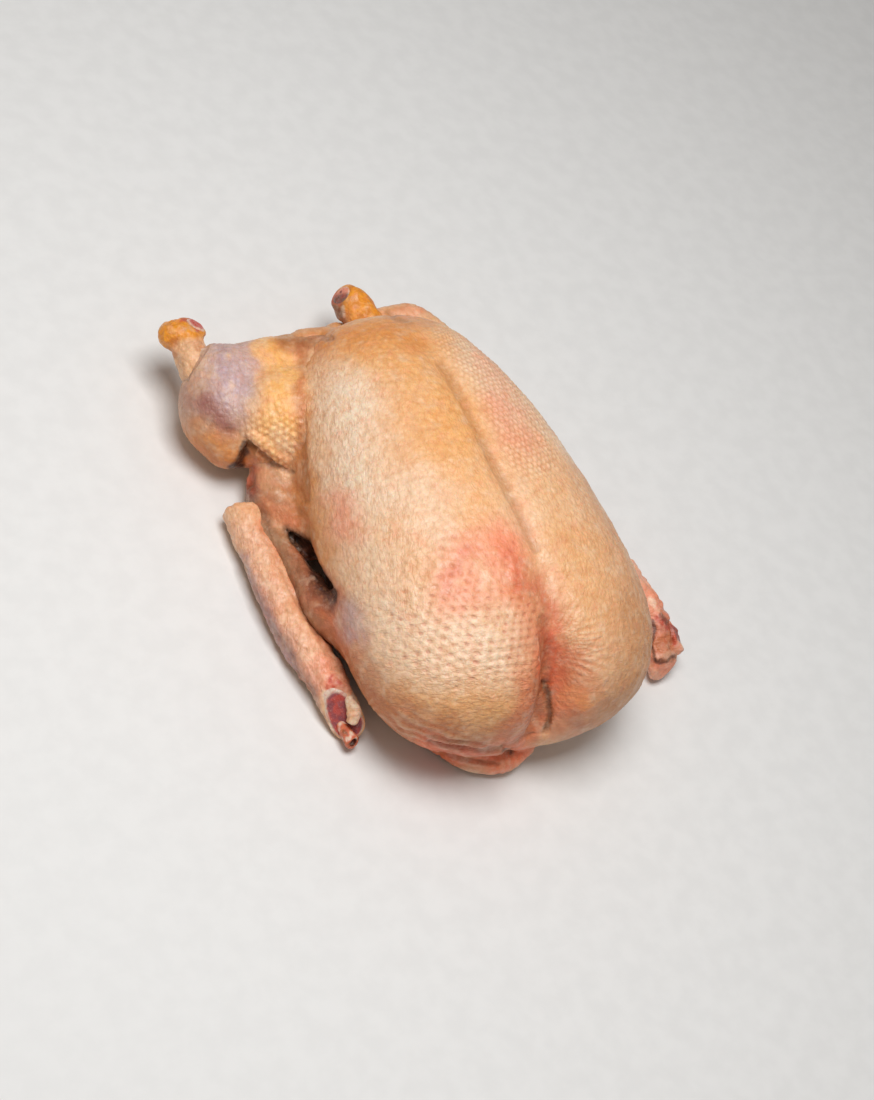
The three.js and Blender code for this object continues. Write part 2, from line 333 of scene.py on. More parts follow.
TRUNK_PAINT = (
    # Painted shade where the breast turns from the light: the tan and ochre patches below, on the right side,
    # low on the left and along the left outline.
    ("tan", 0.8, 30, [(650, 610), (654, 660), (632, 708), (590, 740)]),
    ("tan", 0.5, 18, [(590, 470), (625, 560), (645, 600)]),
    ("tan", 0.65, 27, [(352, 690), (385, 722), (440, 738), (495, 738)]),
    ("fat", 0.5, 22, [(390, 700), (440, 712), (490, 712)]),
    ("ochre", 0.8, 25, [(336, 665), (362, 698), (397, 724), (430, 738)]),
    ("ochre", 0.5, 14, [(430, 738), (480, 742), (510, 735)]),
    ("ochre", 0.8, 14, [(302, 490), (316, 565), (332, 625), (345, 670)]),
    # Painted shade along the breast's left edge.
    ("amber", 0.6, 9, [(302, 350), (301, 410), (303, 460), (306, 500)]),
    ("fat", 0.8, 32, [(372, 345), (412, 362), (436, 390), (450, 425)]),
    ("fat", 0.6, 28, [(440, 430), (462, 475), (480, 510)]),
    ("fat", 0.4, 24, [(550, 500), (578, 550), (590, 610)]),
    # Painted shade where the top rear turns from the light, and faintly along the keel's groove.
    ("amber", 0.75, 14, [(312, 342), (345, 337), (390, 330), (412, 340)]),
    ("amber", 0.2, 7, [(440, 360), (475, 428), (505, 484), (528, 534)]),
    # Painted highlights: the three cream patches below.
    ("cream", 0.85, 26, [(348, 395), (352, 440), (356, 480)]),
    ("cream", 0.5, 24, [(385, 500), (372, 560), (385, 600)]),
    ("cream", 0.6, 32, [(400, 635), (450, 642), (490, 645)]),
    ("cream", 0.4, 25, [(430, 500), (440, 530)]),
    ("cream", 0.5, 14, [(468, 350), (490, 378), (515, 410)]),
    ("blush", 0.75, 22, [(454, 572), (470, 552), (502, 544)]),
    ("blush", 0.65, 17, [(452, 598), (480, 592), (506, 576)]),
    ("coral", 0.5, 13, [(500, 546), (520, 560), (516, 592)]),
    ("red", 0.4, 7, [(510, 554), (521, 566), (519, 586)]),
    ("red", 0.3, 6, [(446, 592), (452, 570), (466, 556)]),
    ("blush", 0.75, 17, [(340, 506), (344, 528)]),
    ("fat", 0.5, 11, [(312, 490), (322, 560)]),
    ("blush", 0.6, 15, [(500, 400), (514, 425), (522, 445)]),
    ("blush", 0.4, 11, [(482, 352), (492, 372)]),
    ("rust", 0.6, 24, [(538, 600), (546, 650), (540, 690)]),
    ("scarlet", 0.6, 12, [(552, 630), (554, 655), (550, 684)]),
    ("red", 0.4, 7, [(548, 638), (550, 656)]),
    ("red", 0.45, 10, [(536, 585), (550, 612)]),
    ("rust", 0.6, 20, [(562, 668), (578, 690), (568, 720)]),
    ("coral", 0.5, 13, [(562, 696), (578, 706)]),
    ("yellow", 0.35, 9, [(568, 692), (584, 704)]),
    # A small painted shade.
    ("brown", 0.3, 6, [(572, 716), (580, 727)]),
    ("rust", 0.75, 14, [(532, 690), (524, 722), (508, 738)]),
    ("brown", 0.45, 8, [(538, 682), (541, 706), (535, 730)]),
    ("rust", 0.7, 7, [(542, 722), (534, 738)]),
    # Painted shade low on the right.
    ("tan", 0.5, 12, [(592, 725), (604, 716)]),
    ("coral", 0.95, 12, [(425, 748), (460, 757), (500, 765), (520, 752)]),
    ("red", 0.5, 6, [(432, 744), (457, 751), (490, 755)]),
    ("rust", 0.7, 15, [(318, 600), (330, 620), (342, 644)]),
    ("red", 0.65, 13, [(300, 556), (310, 578), (318, 594)]),
    ("scarlet", 0.3, 9, [(302, 560), (310, 578)]),
    ("ochre", 0.35, 9, [(388, 312), (426, 316)]),
    ("blush", 0.5, 5, [(406, 309), (422, 311)]),
    # Painted shade: the brown and deep lines below, along the armpit's gap and the gaps beside the left
    # forearm.
    ("brown", 0.75, 9, [(286, 536), (304, 566), (322, 596)]),
    ("brown", 0.6, 9, [(292, 570), (312, 610), (332, 650), (346, 680)]),
    ("lilac", 0.7, 11, [(350, 606), (353, 620), (354, 636)]),
    ("deep", 0.6, 7, [(308, 566), (320, 590), (330, 606)]),
    ("brown", 0.5, 5, [(262, 512), (282, 545), (298, 580)]),
)
TRUNK_MARKS = (
    # Painted shade in grooves: the line at the keel's front, the fold at the tail's end and the gap in the
    # neck skin.
    ("brown", 0.8, 2.6, [(545, 686), (548, 698), (549.5, 715), (546.5, 731)]),
    ("deep", 0.3, 2, [(546, 688), (548, 698), (549.5, 715), (546.5, 731)]),
    ("brown", 0.25, 2.5, [(387, 313), (396, 319), (408, 319)]),
    ("deep", 0.8, 2, [(504, 751), (513, 750)]),
)
LEG_PAINT = (
    ("lilac", 0.95, 24, [(224, 360), (231, 380), (226, 400)]),
    ("mauve", 0.5, 12, [(184, 375), (182, 405), (192, 436)]),
    ("mauve", 0.85, 14, [(203, 400), (210, 416), (226, 426)]),
    ("amber", 0.9, 15, [(196, 440), (216, 454), (238, 456)]),
    ("ochre", 0.5, 8, [(190, 446), (212, 462), (236, 466)]),
)
LEG_MARKS = (
    ("lilac", 0.6, 8, [(247, 350), (248, 368), (246, 388)]),
    ("mauve", 0.6, 3.5, [(204, 404), (212, 416), (228, 424)]),
)
FOREARM_PAINT = (
    ("cream", 0.4, 9, [(244, 530), (258, 560), (285, 615), (310, 665)]),
    ("rust", 0.6, 7, [(262, 522), (284, 562), (304, 600), (328, 646), (344, 672)]),
    ("blush", 0.35, 18, [(244, 530), (285, 615), (320, 680)]),
    ("lilac", 0.8, 9, [(240, 565), (256, 606), (274, 640), (292, 672)]),
    ("purple", 0.4, 8, [(260, 596), (278, 630), (296, 662), (314, 692)]),
    ("blush", 0.8, 11, [(318, 668), (334, 684)]),
    ("purple", 0.7, 8, [(296, 684), (310, 704), (326, 728)]),
    ("red", 0.6, 6, [(331, 680), (338, 688)]),
)
FOREARM_MARKS = (
    ("red", 0.8, 1.8, [(329, 674), (330, 677)]),
    ("red", 0.8, 1.8, [(333, 682), (335, 683)]),
    ("red", 0.7, 1.8, [(337, 677), (338, 679)]),
    ("red", 0.7, 1.8, [(327, 683), (328, 685)]),
    ("cream", 0.8, 3, [(326, 690), (331, 706), (332, 722), (337, 731)]),
    ("cream", 0.8, 5, [(350, 696), (358, 706), (358, 716), (352, 726)]),
)
FAR_WING_PAINT = (
    ("mauve", 0.3, 18, [(662, 610), (670, 640)]),
    ("rust", 0.7, 9, [(662, 662), (670, 668)]),
    ("purple", 0.4, 7, [(666, 620), (676, 638)]),
    ("ochre", 0.7, 6, [(664, 636), (666, 652)]),
    ("red", 0.35, 8, [(664, 660), (674, 668)]),
    ("blush", 0.95, 8, [(649, 600), (656, 604)]),
    ("blush", 0.8, 6, [(666, 670), (676, 664)]),
)
FAR_WING_MARKS = (
    ("red", 0.8, 3, [(658, 612), (668, 626), (672, 645)]),
    # Painted shade in the far wing's folds: the deep lines here and below. The bone line on the raised edge
    # is a painted highlight.
    ("deep", 0.8, 2, [(653, 616), (657, 633), (658, 651), (659, 661)]),
    ("deep", 0.8, 2, FAR_WING_FOLD),
    ("bone", 0.7, 1.5, FAR_WING_EDGE),
    ("cream", 0.7, 3, [(648, 598), (655, 602)]),
    ("purple", 0.8, 4, [(672, 626), (680, 640)]),
    ("deep", 0.6, 1.6, [(660, 610), (667, 621)]),
    ("cream", 0.3, 2.5, [(663, 656), (673, 655)]),
)
HOCK_MARKS = (
    # Painted shadow below the far hock's cut.
    ("brown", 0.9, 7, [(339, 306), (343, 322)]),
    ("bone", 0.6, 1.8, [(346, 308), (347, 317)]),
    ("red", 0.7, 4, [(336, 297), (340, 303)]),
    ("red", 0.8, 2.5, [(182, 320), (192, 320), (201, 332)]),
)
PAINT = {
    "goose_skin": (BETWEEN_PAINT + TRUNK_PAINT, BETWEEN_MARKS + TRUNK_MARKS),
    "left_leg": (BETWEEN_PAINT + LEG_PAINT, BETWEEN_MARKS + LEG_MARKS),
    "left_forearm": (FOREARM_PAINT, FOREARM_MARKS),
    "right_forearm": (FAR_WING_PAINT, FAR_WING_MARKS),
    "left_hock": ((), HOCK_MARKS),
    "right_hock": ((), HOCK_MARKS),
}

# The same for the body as a whole, in millimetres.
BODY_PAINT = (
    # Painted shade: tan low on the body, along the bottom and low on the right.
    ("tan", 0.55, 46, [(0, 130, 0), (0, -110, 0)]),
    ("tan", 0.5, 34, [(112, 60, 14), (112, -60, 14)]),
    ("fat", 0.6, 24, [(60, 128, 85), (92, 110, 62)]),
    ("blush", 0.5, 14, [(104, 25, 62)]),
    ("cream", 0.6, 34, [(92, 20, 95), (100, -50, 85)]),
    ("fat", 0.6, 20, [(4, 170, 40), (5, 196, 30)]),
    ("rust", 0.5, 9, [(-18, 166, 44), (26, 168, 44)]),
    ("rust", 0.6, 16, [(108, -40, 26), (116, 4, 24)]),
)

# Height of the follicles' relief, with pimples above 0 and pits below, half width and line, in the picture's
# pixels.
PICTURE_RELIEF = (
    (-0.20, 60, [(360, 380), (350, 520)]),
    (-0.65, 60, [(430, 630), (490, 640), (470, 590)]),
    (-0.20, 34, [(390, 705), (510, 715)]),
    (0.5, 34, [(455, 348), (490, 385), (514, 420), (532, 455)]),
    (0.30, 34, [(385, 350), (420, 380), (440, 410)]),
    (0.5, 20, [(262, 432), (280, 448), (290, 430)]),
)
# Fine creases that run across the picture and down it: strength, half width and line.
CREASES_ACROSS = (
    (0.75, 50, [(380, 680), (440, 705), (500, 705)]),
    (0.4, 30, [(350, 620), (420, 630), (480, 630)]),
    (0.4, 24, [(575, 700), (610, 690), (632, 660)]),
    (0.5, 20, [(662, 610), (670, 660)]),
)
CREASES_DOWN = (
    (0.6, 60, [(345, 400), (355, 520), (372, 570)]),
    (0.35, 50, [(420, 420), (460, 500)]),
    (0.35, 34, [(560, 500), (590, 570), (600, 620)]),
    (0.35, 40, [(215, 380), (228, 420)]),
    (0.4, 16, [(264, 430), (284, 446)]),
    (0.7, 16, [(240, 515), (258, 560), (285, 615), (324, 700)]),
    (0.25, 30, [(262, 480), (290, 520), (320, 610)]),
)
# How red the follicles are.
PICTURE_DOTS = (
    (1.0, 50, [(440, 620), (490, 640), (505, 600)]),
    (0.6, 40, [(500, 560), (460, 560)]),
    (0.4, 22, [(500, 405), (520, 440)]),
)

# Sunken and raised lines: height in millimetres, half width and line in the picture's pixels.
SKIN_LINES = (
    (-1.4, 4, KEEL_LINE),
    (-1.2, 3, [(258, 446), (274, 472), (288, 492), (300, 514)]),
    (-0.9, 2.5, [(248, 462), (254, 488), (266, 499), (284, 502), (298, 514)]),
    (-1.7, 3, THIGH_HEM),
    (-1.6, 4, [(301, 350), (300, 400), (302, 450), (305, 500)]),
    (-2.4, 2.2, [(429, 742), (457, 748), (482, 751), (503, 748)]),
    (-1.2, 1.8, [(503, 748), (522, 738), (532, 733)]),
    (-1.5, 2, [(440, 753), (470, 760), (498, 764)]),
    (-1.2, 2, [(425, 736), (452, 741), (485, 744)]),
    (-2.4, 2.2, [(505, 752), (512, 750)]),
    (-2.4, 2.8, [(545, 684), (547, 694), (549.5, 714), (546, 732)]),
    (-1.6, 5, [(545, 620), (545, 650), (546, 681)]),
    (-1.5, 2.5, [(290, 352), (298, 343), (314, 339), (332, 338)]),
    (1.0, 3, [(294, 358), (304, 348), (322, 344)]),
    (-0.8, 2.2, [(388, 312), (396, 319), (409, 319)]),
)
LEG_LINES = (
    (2.4, 4, [(250, 434), (262, 443), (275, 455), (288, 463)]),
    (-1.7, 2.6, THIGH_HEM),
    (-1.5, 3, [(206, 348), (198, 358), (190, 368), (185, 380)]),
    (-0.8, 3, [(204, 420), (222, 430), (238, 432)]),
)
FOREARM_LINES = (
    (-1.0, 2.5, [(240, 562), (262, 612), (290, 658), (312, 694)]),
    (0.8, 3, [(247, 560), (268, 606), (296, 654), (318, 688)]),
    (-0.8, 2, [(262, 530), (282, 572), (304, 612), (326, 652)]),
)
FAR_WING_LINES = (
    (-2.5, 2, FAR_WING_FOLD),
    (-2.0, 1.8, [(671, 622), (673, 645)]),
    (1.0, 1.5, FAR_WING_EDGE),
)

# Wrinkles that fan out from the front of the keel, and wrinkles along the neck's edge, in the picture's
# pixels.
FAN_MIDDLE = (545, 650)
FAN_RAYS = 46
FAN_REACH = (42, 24)
FAN_HEIGHT = 0.5
NECK_EDGE = [(378, 722), (400, 738), (425, 748), (457, 759), (490, 767)]
NECK_WRINKLE = (7.0, 40, 0.5)

SEED = 7
NOISE_CELLS = 32
NOISE_TABLE = np.random.default_rng(SEED).uniform(-1, 1, (NOISE_CELLS,) * 3).astype(np.float32)


def smooth_step(start, end, value):
    t = np.clip((value - start) / (end - start), 0, 1)
    return t * t * (3 - 2 * t)


def bell(distance, half_width):
    return np.exp(-np.square(distance / half_width))


def join(a, b, blend):
    """The union of two distances, rounded where they meet."""
    share = np.clip(0.5 + 0.5 * (b - a) / blend, 0, 1)
    return b + (a - b) * share - blend * share * (1 - share)


def keep_both(a, b, blend):
    """The overlap of two distances, with a rounded edge."""
    return -join(-a, -b, blend)


def noise(p, size):
    """A smooth random value, mostly from -0.7 to 0.7, that changes over this many millimetres."""
    q = p / size
    cell = np.floor(q).astype(np.int32)
    t = (q - cell).astype(np.float32)
    t = t * t * (3 - 2 * t)
    total = np.zeros(len(p), np.float32)
    for corner in np.ndindex(2, 2, 2):
        weight = np.prod(np.where(corner, t, 1 - t), axis=1)
        i, j, k = ((cell + corner) % len(NOISE_TABLE)).T
        total += weight * NOISE_TABLE[i, j, k]
    return total


def noise3(p, size):
    return np.stack([noise(p + 37.0 * k, size) for k in range(3)], axis=1)


def trunk_level(p):
    """The trunk's level, its section radius as a share, and its place along the axis from -1 to 1."""
    x, y, z = p.T
    t = y / HALF_LENGTH
    least, most = BACK_NARROWING
    narrowing = least + (most - least) * smooth_step(*BACK_NARROWS, y)
    outline = HALF_WIDTH * (1 - WIDTH_TAPER * t + WIDTH_FLARE * t * t)
    width = outline * (1 - narrowing * smooth_step(WIDEST_HEIGHT, 0, z))
    middle, length = SLIM_STRETCH
    width = width - RIGHT_SLIMMING * bell(y - middle, length) * smooth_step(*SLIM_FROM, x)
    top = KEEL_HEIGHT * (1 - KEEL_TAPER * t - KEEL_ROUNDING * t * t)
    height = np.where(z > WIDEST_HEIGHT, top - WIDEST_HEIGHT, WIDEST_HEIGHT + BACK_FLATTENED)
    section = np.abs(x / width) ** SECTION_POWER + np.abs((z - WIDEST_HEIGHT) / height) ** SECTION_POWER
    section = section ** (1 / SECTION_POWER)
    level = (section**OUTLINE_POWER + np.abs(t) ** OUTLINE_POWER) ** (1 / OUTLINE_POWER) - 1
    return level, section, t


def middle_hollows(p):
    x, y, z = p.T
    depth, half_width = KEEL_GROOVE
    hollow = depth * bell(x, half_width) * smooth_step(*GROOVE_FROM, y)
    depth, half_width = WISHBONE_DIP
    hollow += depth * bell(x, half_width) * smooth_step(*DIP_FROM, y)
    for depth, half_width, middle_y, middle_z, length, height in MIDDLE_HOLLOWS:
        hollow += depth * bell(x, half_width) * bell(y - middle_y, length) * bell(z - middle_z, height)
    return hollow * smooth_step(*HOLLOWS_FROM, z)


def slope(function, p, step=1.0):
    here = function(p)
    rise = [function(p + step * axis) - here for axis in np.eye(3, dtype=np.float32)]
    return here, np.stack(rise, axis=1) / step


def trunk_distance(p):
    level, rise = slope(lambda q: trunk_level(q)[0], p)
    return level / np.maximum(np.linalg.norm(rise, axis=1), 0.002) + middle_hollows(p)


class Limb:
    """A bar bent along a smooth line through its stations, with an oval section."""

    REACH = 22.0
    FAR = 40.0

    def __init__(self, stations, steps=5):
        points = np.array(stations, np.float32)
        padded = np.vstack([2 * points[0] - points[1], points, 2 * points[-1] - points[-2]])
        line = []
        for a, b, c, d in zip(padded, padded[1:], padded[2:], padded[3:]):
            for t in np.arange(steps, dtype=np.float32) / steps:
                middle = (c - a) * t + (2 * a - 5 * b + 4 * c - d) * t**2 + (3 * b - a - 3 * c + d) * t**3
                line.append(b + middle / 2)
        self.line = np.array(line + [points[-1]], np.float32)
        thick = self.line[:, 3:].max()
        self.low = self.line[:, :3].min(0) - thick - self.REACH
        self.high = self.line[:, :3].max(0) + thick + self.REACH

    def measure(self, p):
        """Distance to the surface, place along and place around it, in millimetres."""
        out = np.full((len(p), 3), self.FAR, np.float32)
        near = ((p > self.low) & (p < self.high)).all(1)
        q = p[near]
        best = np.full((len(q), 3), self.FAR, np.float32)
        run = 0.0
        for a, b in zip(self.line, self.line[1:]):
            length = float(np.linalg.norm(b[:3] - a[:3]))
            ahead = (b[:3] - a[:3]) / length
            side = np.cross(ahead, (0, 0, 1))
            side /= np.linalg.norm(side)
            upward = np.cross(side, ahead)
            along = (q - a[:3]) @ ahead
            share = np.clip(along / length, 0, 1)
            width = a[3] + (b[3] - a[3]) * share
            height = a[4] + (b[4] - a[4]) * share
            past = along - share * length
            sideways = (q - a[:3]) @ side
            rising = (q - a[:3]) @ upward
            away = np.sqrt(sideways**2 + rising**2 + past**2) + 1e-6
            beyond = 2 * past / (width + height)
            ratio = np.sqrt((sideways / width) ** 2 + (rising / height) ** 2 + beyond**2)
            distance = away - away / (ratio + 1e-6)
            around = np.arctan2(sideways, rising) * (width + height) / 2
            here = np.stack([distance, run + along, around], axis=1)
            best = np.where((distance < best[:, 0])[:, None], here, best)
            run += length
        out[near] = best
        return out

    def distance(self, p):
        return self.measure(p)[:, 0]


LIMBS = {name: Limb(stations) for name, stations in STATIONS.items()}
# How far each limb's skin runs into what is already joined, in the order of joining.
TRUNK_BLENDS = {
    "right_thigh": 14,
    "left_flank": 8,
    "right_drumstick": 6,
    "tail": 14,
    "rear_fold": 5,
    "left_upper_wing": 6,
    "right_upper_wing": 6,
    "neck_skin": 5,
}
LEG_BLENDS = {"left_thigh": 10, "left_thigh_skin": 8, "left_drumstick": 8, "left_calf": 12}
ARMPIT = Limb(LEFT_ARMPIT)
ARMPIT_BELOW = Limb(ARMPIT_DEPTH)
KNEE_PIT = Limb(LEFT_KNEE_PIT)
GAP_BLEND = 3
# How far the trunk's surface, and the thigh's, lie inside what covers them.
COVERED = 2.0
LEG_LIFT = 0.4


def skin_distance(p):
    whole = join(trunk_distance(p), LIMBS["left_thigh"].distance(p) + COVERED, LEG_BLENDS["left_thigh"])
    for name, blend in TRUNK_BLENDS.items():
        whole = join(whole, LIMBS[name].distance(p), blend)
    for gap in (ARMPIT, ARMPIT_BELOW, KNEE_PIT):
        whole = keep_both(whole, -gap.distance(p), GAP_BLEND)
    return keep_both(whole, -p[:, 2], 4)


def leg_distance(p):
    """The left leg, with the trunk's surface just below the skin, out to well inside the trunk."""
    whole = trunk_distance(p) + COVERED
    for name, blend in LEG_BLENDS.items():
        whole = join(whole, LIMBS[name].distance(p), blend)
    whole = keep_both(whole, LIMBS["leg_room"].distance(p), 2)
    whole = keep_both(whole, -KNEE_PIT.distance(p), GAP_BLEND)
    return keep_both(whole, LEG_LIFT - p[:, 2], 4)


def past_cut(p, cut):
    """How far a point is past a flat cut."""
    at, facing = (np.array(v, np.float32) for v in cut)
    return (p - at) @ (facing / np.linalg.norm(facing))


def left_shank_distance(p):
    whole = join(LIMBS["left_shank"].distance(p), LIMBS["left_knob"].distance(p), 5)
    return keep_both(whole, past_cut(p, LEFT_HOCK_CUT), 2)


def right_shank_distance(p):
    return keep_both(LIMBS["right_shank"].distance(p), past_cut(p, RIGHT_HOCK_CUT), 2)


def left_forearm_distance(p):
    whole = keep_both(LIMBS["left_forearm"].distance(p), past_cut(p, LEFT_WING_CUT), 2)
    whole = join(whole, LIMBS["wing_lobe"].distance(p), 2)
    whole = keep_both(whole, past_cut(p, LEFT_ELBOW), 5)
    return keep_both(whole, -p[:, 2], 3)


RIGHT_LOBES = [Limb(lobe) for lobe in RIGHT_WING_LOBES]


def right_forearm_distance(p):
    whole = LIMBS["right_forearm"].distance(p)
    for lobe in RIGHT_LOBES:
        whole = join(whole, lobe.distance(p), 2)
    whole = keep_both(whole, past_cut(p, RIGHT_WING_CUT), 3)
    return keep_both(whole, -p[:, 2], 3)


def flesh_distance(limb, cut, inset, depth):
    """A disc of flesh that stands just past a cut, inside the limb's skin."""

    def distance(p):
        past = past_cut(p, cut)
        disc = keep_both(limb.distance(p) + inset + 0.5 * noise(p, 6), past - 0.8 - 0.4 * noise(p, 3), 1)
        return keep_both(disc, -past - depth, 1)

    return distance


def bone_distance(p):
    """The stub of bone, hollow at its end."""
    along = LIMBS["wing_bone"]
    outside = along.distance(p) + 0.5 * noise(p, 3)
    end = past_cut(p, WING_BONE_END)
    outside = keep_both(outside, end, 1)
    hollow = np.maximum(along.distance(p) + BONE_WALL, -end - BONE_HOLLOW)
    return keep_both(outside, -hollow, 0.8)


# ---- from a distance to a mesh


def sample(distance, low, high, step):
    """The distance on a fine grid, worked out only near the surface and elsewhere only by its sign."""
    low = np.array(low, np.float32)
    wide = step * COARSE
    count = np.ceil((np.array(high) - low) / wide).astype(int)
    axes = [low[k] + wide * (np.arange(count[k]) + 0.5) for k in range(3)]
    middles = np.stack(np.meshgrid(*axes, indexing="ij"), axis=-1).reshape(-1, 3).astype(np.float32)
    rough = distance(middles).reshape(count)
    near = np.abs(rough) < wide * 1.9
    for axis in range(3):
        near = near.repeat(COARSE, axis=axis)
        rough = rough.repeat(COARSE, axis=axis)
    cells = np.argwhere(near)
    grid = rough.astype(np.float32)
    grid[near] = distance((low + step * cells).astype(np.float32))
    return grid, low


def surface_net(grid, low, step):
    """Points and four-sided faces of the surface where the grid changes sign."""
    inside = grid < 0
    shape = np.array(grid.shape) - 1
    corners = list(np.ndindex(2, 2, 2))
    count = np.zeros(shape, np.uint8)
    for i, j, k in corners:
        count += inside[i : shape[0] + i, j : shape[1] + j, k : shape[2] + k]
    crossed = (count > 0) & (count < 8)
    number = np.full(shape, -1, np.int64)
    cells = np.argwhere(crossed)
    number[crossed] = np.arange(len(cells))
    value = {c: grid[tuple((cells + c).T)] for c in corners}
    total = np.zeros((len(cells), 3), np.float32)
    hits = np.zeros(len(cells), np.float32)
    for corner in corners:
        for axis in range(3):
            if corner[axis]:
                continue
            other = tuple(1 if k == axis else corner[k] for k in range(3))
            a, b = value[corner], value[other]
            changes = (a < 0) != (b < 0)
            share = np.where(changes, a / np.where(changes, a - b, 1), 0)
            place = np.array(corner, np.float32) + share[:, None] * np.eye(3, dtype=np.float32)[axis]
            total += np.where(changes[:, None], place, 0)
            hits += changes
    points = low + step * (cells + total / hits[:, None])
    faces = []
    for axis in range(3):
        u, v = (k for k in range(3) if k != axis)
        changes = np.diff(inside, axis=axis)
        edges = np.argwhere(changes)
        edges = edges[(edges[:, u] > 0) & (edges[:, v] > 0)]
        edges = edges[(edges[:, u] < shape[u]) & (edges[:, v] < shape[v])]
        ring = []
        for back_u, back_v in ((1, 1), (0, 1), (0, 0), (1, 0)):
            cell = edges.copy()
            cell[:, u] -= back_u
            cell[:, v] -= back_v
            ring.append(number[tuple(cell.T)])
        face = np.stack(ring, axis=1)
        turned = inside[tuple(edges.T)] == (axis == 1)
        faces.append(np.where(turned[:, None], face[:, ::-1], face))
    return points.astype(np.float32), np.concatenate(faces)


def relax(points, faces, share=0.5):
    """Moves each point towards the middle of its neighbours."""
    total = np.zeros_like(points)
    count = np.zeros(len(points), np.float32)
    for k in range(4):
        np.add.at(total, faces[:, k], points[faces[:, k - 1]] + points[faces[:, (k + 1) % 4]])
        np.add.at(count, faces[:, k], 2)
    return points + share * (total / count[:, None] - points)


def settle(points, distance, rounds=2):
    """Moves points onto the surface and gives their outward directions."""
    for _ in range(rounds):
        away, rise = slope(distance, points, 0.3)
        length = np.maximum((rise**2).sum(1), 0.2)
        points = points - np.clip(away / length, -2, 2)[:, None] * rise
    away, rise = slope(distance, points, 0.3)
    return points, rise / np.maximum(np.linalg.norm(rise, axis=1, keepdims=True), 1e-6)


def net_of(distance, low, high, step):
    grid, start = sample(distance, low, high, step)
    points, faces = surface_net(grid, start, step)
    points, normals = settle(points, distance, 1)
    points = relax(points, faces)
    points, normals = settle(points, distance, 2)
    return points, faces, normals


def build(name, points, faces, values, material):
    """A mesh piece with smooth faces and named values at its points."""
    mesh = bpy.data.meshes.new(name)
    mesh.from_pydata((points * MM).tolist(), [], faces.tolist())
    mesh.polygons.foreach_set("use_smooth", np.ones(len(faces), bool))
    for key, value in values.items():
        kind, field = ("FLOAT", "value") if value.ndim == 1 else ("FLOAT_VECTOR", "vector")
        attribute = mesh.attributes.new(key, kind, "POINT")
        attribute.data.foreach_set(field, value.astype(np.float32).ravel())
    mesh.materials.append(material)
    piece = bpy.data.objects.new(name, mesh)
    bpy.context.scene.collection.objects.link(piece)
    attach(piece, "root")
    return piece


# ---- follicles


def trunk_profile():
    """A table of the skin's length from the middle, counted so that rows close up where the trunk is thin."""
    angle = np.linspace(-math.pi / 2, math.pi / 2, PROFILE_POINTS)
    t = np.sign(angle) * np.abs(np.sin(angle)) ** (2 / OUTLINE_POWER)
    radius = PORE_RADIUS * np.cos(angle) ** (2 / OUTLINE_POWER)
    step = np.hypot(np.diff(HALF_LENGTH * t), np.diff(radius))
    middle = (radius[1:] + radius[:-1]) / 2
    run = np.concatenate([[0], np.cumsum(step * PORE_RADIUS / np.maximum(middle, LEAST_RADIUS))])
    return angle, run - np.interp(0, angle, run)


def section_profile():
    """A table from the angle round the trunk to the length of skin from the keel."""
    turn = np.linspace(0, math.pi, PROFILE_POINTS)
    cosine = np.cos(turn)
    x = HALF_WIDTH * np.abs(np.sin(turn)) ** (2 / SECTION_POWER)
    height = np.where(cosine > 0, KEEL_HEIGHT - WIDEST_HEIGHT, WIDEST_HEIGHT + BACK_FLATTENED)
    z = height * np.sign(cosine) * np.abs(cosine) ** (2 / SECTION_POWER)
    run = np.concatenate([[0], np.cumsum(np.hypot(np.diff(x), np.diff(z)))])
    return np.arctan2(x, z), run


TRUNK_PROFILE = trunk_profile()
SECTION_PROFILE = section_profile()


def trunk_place(p):
    """Along and around the trunk, counted in follicles."""
    _, section, t = trunk_level(p)
    half_power = OUTLINE_POWER / 2
    angle = np.arctan2(np.sign(t) * np.abs(t) ** half_power, section**half_power)
    along = np.interp(angle, *TRUNK_PROFILE)
    turn = np.arctan2(p[:, 0], p[:, 2] - WIDEST_HEIGHT)
    around = np.sign(turn) * np.interp(np.abs(turn), *SECTION_PROFILE)
    along -= ROW_LEAN * np.hypot(around, ROW_BEND)
    least, most = SIDE_CROWDING
    crowding = least + (most - least) * smooth_step(*SIDES_MEET, around)
    return np.stack([along, around], axis=1) * crowding[:, None] / TRUNK_SPACING


def dome_place(p, middle, radius):
    """Places on a rounded part, spread out from the side that faces the view, in millimetres."""
    away = p - np.array(middle, np.float32)
    away /= np.linalg.norm(away, axis=1, keepdims=True)
    sideways = np.stack([away @ RIGHT, away @ UP], axis=1)
    length = np.maximum(np.linalg.norm(sideways, axis=1, keepdims=True), 1e-6)
    return radius * np.arccos(np.clip(away @ BACK, -1, 1))[:, None] * sideways / length


def ruffled(place, p, amount):
    """Places pushed about a little, so that no row is quite straight."""
    for share, size, shift in RUFFLES:
        place = place + share * amount * np.stack([noise(p, size), noise(p + shift, size)], axis=1)
    return place


def pillows(place):
    """1 at each follicle and -0.5 between them, changing smoothly."""
    return np.cos(place @ LATTICE_WAVES.T).mean(axis=1)


# ---- relief and colour


def stroke(q, points):
    """How far places are from a line through these points."""
    points = np.array(points, np.float32)
    if len(points) == 1:
        return np.linalg.norm(q - points[0], axis=1)
    best = np.full(len(q), np.inf)
    for a, b in zip(points, points[1:]):
        share = np.clip((q - a) @ (b - a) / ((b - a) @ (b - a)), 0, 1)
        best = np.minimum(best, np.linalg.norm(q - a - share[:, None] * (b - a), axis=1))
    return best


def patch(q, points, half_width, edge=0.5):
    """1 along a line and 0 away from it. The edge's softness is a share of the half width."""
    return smooth_step((1 + edge) * half_width, (1 - edge) * half_width, stroke(q, points))


